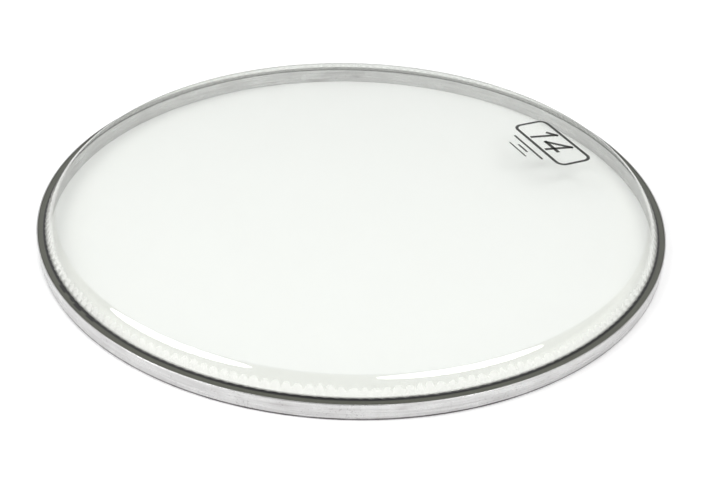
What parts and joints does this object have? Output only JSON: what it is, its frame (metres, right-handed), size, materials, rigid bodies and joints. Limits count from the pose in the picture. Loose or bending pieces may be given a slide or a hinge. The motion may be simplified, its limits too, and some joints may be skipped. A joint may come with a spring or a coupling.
{
  "type": "drum head",
  "caption": "Round clear film drum head, pressed to a shallow dish, whose pleated skirt is cast with resin into an open aluminium channel hoop.",
  "frame": {"origin": "on the axis of the hoop, level with its underside", "axes": "+Z along the axis, from the open side towards the playing surface"},
  "size_m": [0.368, 0.368, 0.0182],
  "materials": {
    "hoop": "satin mill finish with fine rolling lines",
    "splice": "plain mill finish",
    "film": "clear polyester film, glossy",
    "resin": "cast resin, dark olive grey, semi-gloss"
  },
  "bodies": {
    "root": {"hoop_channel": "hoop", "hoop_splice": "splice", "film_head": "film", "resin_ring": "resin"}
  },
  "joints": []
}
